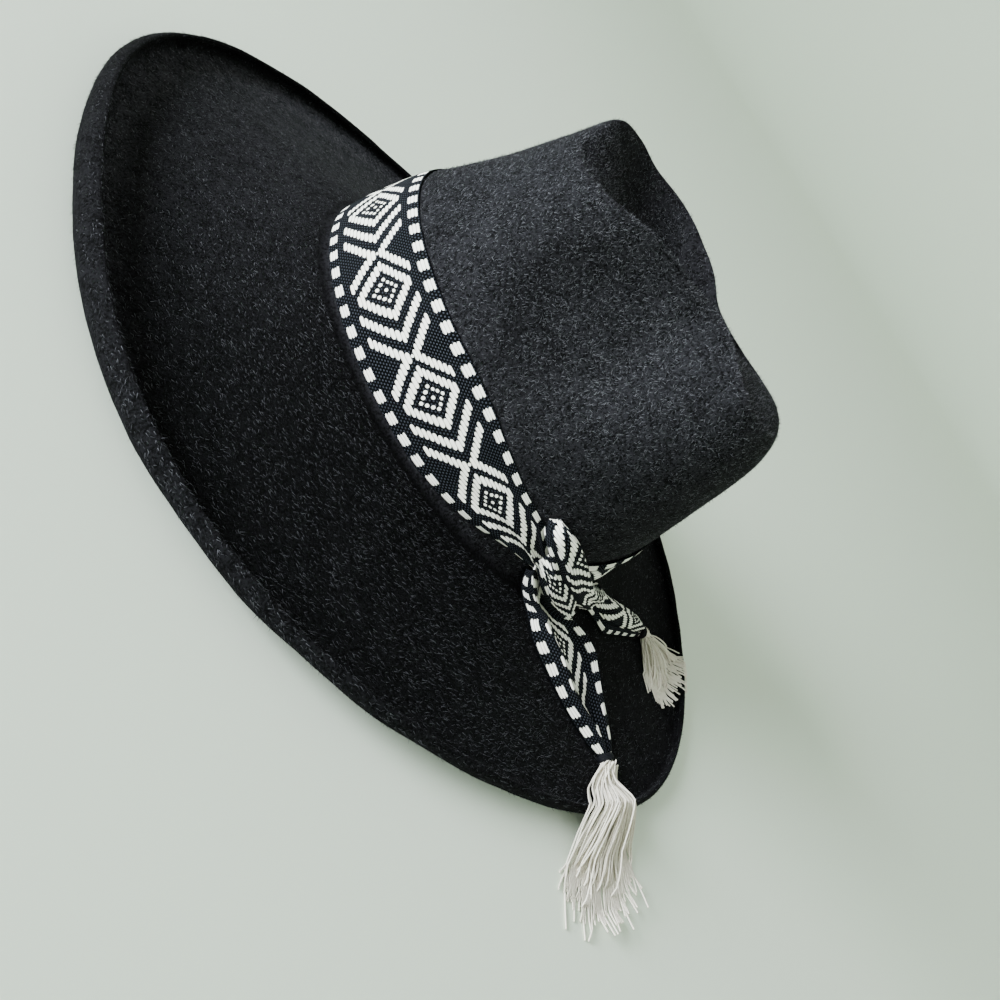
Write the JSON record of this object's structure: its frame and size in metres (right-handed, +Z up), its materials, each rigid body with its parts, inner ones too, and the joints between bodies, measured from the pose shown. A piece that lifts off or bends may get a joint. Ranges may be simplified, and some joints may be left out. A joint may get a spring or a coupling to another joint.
{
  "type": "wide-brim felt hat",
  "caption": "Wide-brim felt hat with a teardrop top dent, side pinches, a curled-up brim edge and a knotted, tasselled woven band.",
  "frame": {"origin": "centre of the hat's box at the surface it rests on, brim down", "axes": "+Z up through the crown, -Y towards the wearer's front, +X towards the wearer's left, where the knot is"},
  "size_m": [0.3984, 0.4222, 0.1517],
  "materials": {
    "felt": "matte wool felt",
    "ribbon": "woven cotton ribbon, cream and near-black",
    "navy_thread": "wound thread",
    "cream_thread": "loose cotton threads"
  },
  "bodies": {
    "root": {"felt_body": "felt", "hat_band": "ribbon", "band_knot": "ribbon", "tail_long": "ribbon", "tail_short": "ribbon", "binding_long": "navy_thread", "binding_short": "navy_thread", "tassel_long": "cream_thread", "tassel_short": "cream_thread"}
  },
  "joints": []
}
